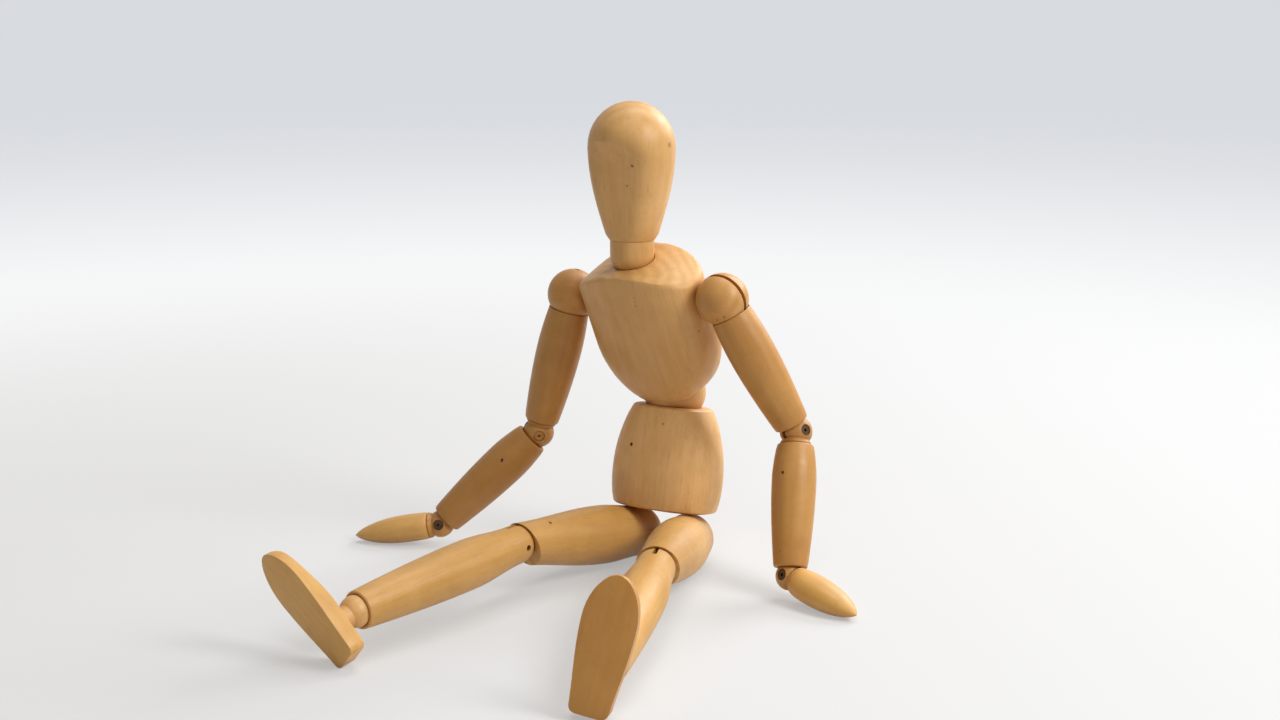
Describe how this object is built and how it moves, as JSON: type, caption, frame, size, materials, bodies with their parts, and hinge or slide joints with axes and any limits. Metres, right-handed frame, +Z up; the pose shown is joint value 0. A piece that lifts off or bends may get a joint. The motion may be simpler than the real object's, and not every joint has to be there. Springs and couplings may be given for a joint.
{
  "type": "jointed wooden artist figure",
  "caption": "Seated jointed wooden artist figure with ball, hinge and twist joints at neck, waist, shoulders, elbows, wrists, hips, knees and ankles, for posing.",
  "frame": {"origin": "bottom centre of the seated figure's bounding box, on the floor", "axes": "+Z up, the figure faces -Y, its left side is +X"},
  "size_m": [0.1946, 0.1676, 0.1631],
  "materials": {
    "wood": "satin clear lacquer",
    "steel": "plain",
    "bronze": "dark, dull"
  },
  "bodies": {
    "pelvis": {"pelvis": "wood", "pelvis_nails": "steel"},
    "waist": {"waist": "wood", "waist_pin": "steel"},
    "chest": {"chest": "wood", "spine_spring": "steel"},
    "neck": {"neck": "wood", "neck_pin": "steel"},
    "head": {"head": "wood"},
    "left_shoulder_ball": {"left_shoulder_ball": "wood", "left_shoulder_pin": "steel"},
    "left_shoulder_tongue": {"left_shoulder_tongue": "steel"},
    "left_upper_arm": {"left_upper_arm": "wood", "left_arm_spring": "steel", "left_elbow_tongue": "steel"},
    "left_elbow_knuckle": {"left_elbow_knuckle": "wood", "left_elbow_rivet": "bronze"},
    "left_forearm": {"left_forearm": "wood", "left_forearm_nail": "steel", "left_wrist_tongue": "steel"},
    "left_wrist_knuckle": {"left_wrist_knuckle": "wood", "left_wrist_rivet": "bronze"},
    "left_hand": {"left_hand": "wood"},
    "left_hip_tongue": {"left_hip_tongue": "steel"},
    "left_thigh": {"left_thigh": "wood", "left_hip_pin": "steel", "left_thigh_nail": "steel", "left_knee_tongue": "steel"},
    "left_shin": {"left_shin": "wood", "left_knee_pin": "bronze", "left_ankle_spring": "steel"},
    "left_ankle": {"left_ankle": "wood", "left_ankle_pin": "steel"},
    "left_foot": {"left_foot": "wood"},
    "right_shoulder_ball": {"right_shoulder_ball": "wood", "right_shoulder_pin": "steel"},
    "right_shoulder_tongue": {"right_shoulder_tongue": "steel"},
    "right_upper_arm": {"right_upper_arm": "wood", "right_arm_spring": "steel"},
    "right_elbow_knuckle": {"right_elbow_knuckle": "wood", "right_elbow_rivet": "bronze"},
    "right_forearm": {"right_forearm": "wood", "right_forearm_nail": "steel", "right_wrist_tongue": "steel", "right_elbow_tongue": "steel"},
    "right_wrist_knuckle": {"right_wrist_knuckle": "wood", "right_wrist_rivet": "bronze"},
    "right_hand": {"right_hand": "wood"},
    "right_hip_tongue": {"right_hip_tongue": "steel"},
    "right_thigh": {"right_thigh": "wood", "right_hip_pin": "steel", "right_thigh_nail": "steel", "right_knee_tongue": "steel"},
    "right_shin": {"right_shin": "wood", "right_knee_pin": "bronze", "right_ankle_spring": "steel"},
    "right_ankle": {"right_ankle": "wood", "right_ankle_pin": "steel"},
    "right_foot": {"right_foot": "wood"}
  },
  "joints": [
    {"name": "waist_turn", "type": "hinge", "parent": "pelvis", "child": "waist", "pos_m": [0.00979, 0.07276, 0.05952], "axis": [0, 0.1736, 0.9848], "range_deg": [-30, 35]},
    {"name": "chest_bend", "type": "hinge", "parent": "waist", "child": "chest", "pos_m": [0.00979, 0.07276, 0.05952], "axis": [0.9962, -0.0858, 0.0151], "range_deg": [-55, 3]},
    {"name": "neck_nod", "type": "hinge", "parent": "chest", "child": "neck", "pos_m": [0.00345, 0.05335, 0.11113], "axis": [0.9962, -0.0858, 0.0151], "range_deg": [-11, 43]},
    {"name": "head_turn", "type": "hinge", "parent": "neck", "child": "head", "pos_m": [0.00345, 0.05335, 0.11113], "axis": [-0.0144, 0.0093, 0.9999], "range_deg": [-80, 80]},
    {"name": "left_shoulder_swing", "type": "hinge", "parent": "chest", "child": "left_shoulder_ball", "pos_m": [0.03709, 0.05576, 0.09789], "axis": [-0.9906, 0.1105, -0.0802], "range_deg": [-60, 100]},
    {"name": "left_shoulder_raise", "type": "hinge", "parent": "left_shoulder_ball", "child": "left_shoulder_tongue", "pos_m": [0.03709, 0.05576, 0.09789], "axis": [-0.0819, -0.951, -0.2982], "range_deg": [-13, 95]},
    {"name": "left_upper_arm_twist", "type": "hinge", "parent": "left_shoulder_tongue", "child": "left_upper_arm", "pos_m": [0.03709, 0.05576, 0.09789], "axis": [-0.4274, -0.2368, 0.8725], "range_deg": [-60, 60]},
    {"name": "left_elbow_bend", "type": "hinge", "parent": "left_upper_arm", "child": "left_elbow_knuckle", "pos_m": [0.05953, 0.06819, 0.05208], "axis": [-0.8704, 0.3689, -0.3262], "range_deg": [-102, 25]},
    {"name": "left_forearm_twist", "type": "hinge", "parent": "left_elbow_knuckle", "child": "left_forearm", "pos_m": [0.05953, 0.06819, 0.05208], "axis": [-0.1658, 0.4041, 0.8995], "range_deg": [-80, 80]},
    {"name": "left_wrist_bend", "type": "hinge", "parent": "left_forearm", "child": "left_wrist_knuckle", "pos_m": [0.06774, 0.04819, 0.00755], "axis": [-0.2907, -0.8917, 0.347], "range_deg": [-125, 2.5]},
    {"name": "left_hand_twist", "type": "hinge", "parent": "left_wrist_knuckle", "child": "left_hand", "pos_m": [0.06774, 0.04819, 0.00755], "axis": [-0.9187, 0.3614, 0.1591], "range_deg": [-60, 60]},
    {"name": "left_hip_turn", "type": "hinge", "parent": "pelvis", "child": "left_hip_tongue", "pos_m": [0.02029, 0.06385, 0.009], "axis": [0, 0.1736, 0.9848], "range_deg": [-12, 25]},
    {"name": "left_hip_bend", "type": "hinge", "parent": "left_hip_tongue", "child": "left_thigh", "pos_m": [0.02029, 0.06385, 0.009], "axis": [-0.9483, -0.3125, 0.0551], "range_deg": [-90, 0]},
    {"name": "left_knee_bend", "type": "hinge", "parent": "left_thigh", "child": "left_shin", "pos_m": [0.04043, 0.00431, 0.01803], "axis": [0.9483, 0.3125, -0.0551], "range_deg": [-21, 60]},
    {"name": "left_ankle_bend", "type": "hinge", "parent": "left_shin", "child": "left_ankle", "pos_m": [0.06235, -0.0634, 0.01116], "axis": [0.9483, 0.3125, -0.0551], "range_deg": [-30, 40]},
    {"name": "left_foot_turn", "type": "hinge", "parent": "left_ankle", "child": "left_foot", "pos_m": [0.06235, -0.0634, 0.01116], "axis": [-0.3173, 0.9369, -0.1471], "range_deg": [-25, 40]},
    {"name": "right_shoulder_swing", "type": "hinge", "parent": "chest", "child": "right_shoulder_ball", "pos_m": [-0.02631, 0.06283, 0.09276], "axis": [-0.9906, 0.1105, -0.0802], "range_deg": [-80, 80]},
    {"name": "right_shoulder_raise", "type": "hinge", "parent": "right_shoulder_ball", "child": "right_shoulder_tongue", "pos_m": [-0.02631, 0.06283, 0.09276], "axis": [0.12, 0.9849, -0.1248], "range_deg": [-10, 95]},
    {"name": "right_upper_arm_twist", "type": "hinge", "parent": "right_shoulder_tongue", "child": "right_upper_arm", "pos_m": [-0.02631, 0.06283, 0.09276], "axis": [-0.2256, -0.0954, -0.9695], "range_deg": [-60, 60]},
    {"name": "right_elbow_twist", "type": "hinge", "parent": "right_upper_arm", "child": "right_elbow_knuckle", "pos_m": [-0.03815, 0.05782, 0.04185], "axis": [-0.2256, -0.0954, -0.9695], "range_deg": [-80, 80]},
    {"name": "right_elbow_bend", "type": "hinge", "parent": "right_elbow_knuckle", "child": "right_forearm", "pos_m": [-0.03815, 0.05782, 0.04185], "axis": [-0.5799, 0.8129, 0.0549], "range_deg": [-95, 30]},
    {"name": "right_wrist_bend", "type": "hinge", "parent": "right_forearm", "child": "right_wrist_knuckle", "pos_m": [-0.06838, 0.03857, 0.0077], "axis": [-0.3787, 0.9084, -0.1769], "range_deg": [-98, 30]},
    {"name": "right_hand_twist", "type": "hinge", "parent": "right_wrist_knuckle", "child": "right_hand", "pos_m": [-0.06838, 0.03857, 0.0077], "axis": [-0.8983, -0.4068, -0.166], "range_deg": [-60, 60]},
    {"name": "right_hip_turn", "type": "hinge", "parent": "pelvis", "child": "right_hip_tongue", "pos_m": [-0.00071, 0.06385, 0.009], "axis": [0, -0.1736, -0.9848], "range_deg": [-5, 34]},
    {"name": "right_hip_bend", "type": "hinge", "parent": "right_hip_tongue", "child": "right_thigh", "pos_m": [-0.00071, 0.06385, 0.009], "axis": [-0.9833, 0.1795, -0.0316], "range_deg": [-90, 0]},
    {"name": "right_knee_bend", "type": "hinge", "parent": "right_thigh", "child": "right_shin", "pos_m": [-0.01228, 0.00213, 0.01842], "axis": [0.9833, -0.1795, 0.0316], "range_deg": [-19, 62]},
    {"name": "right_ankle_bend", "type": "hinge", "parent": "right_shin", "child": "right_ankle", "pos_m": [-0.02496, -0.06811, 0.0141], "axis": [0.9833, -0.1795, 0.0316], "range_deg": [-40, 36]},
    {"name": "right_foot_turn", "type": "hinge", "parent": "right_ankle", "child": "right_foot", "pos_m": [-0.02496, -0.06811, 0.0141], "axis": [-0.1704, -0.9669, -0.1901], "range_deg": [-30, 30]}
  ]
}
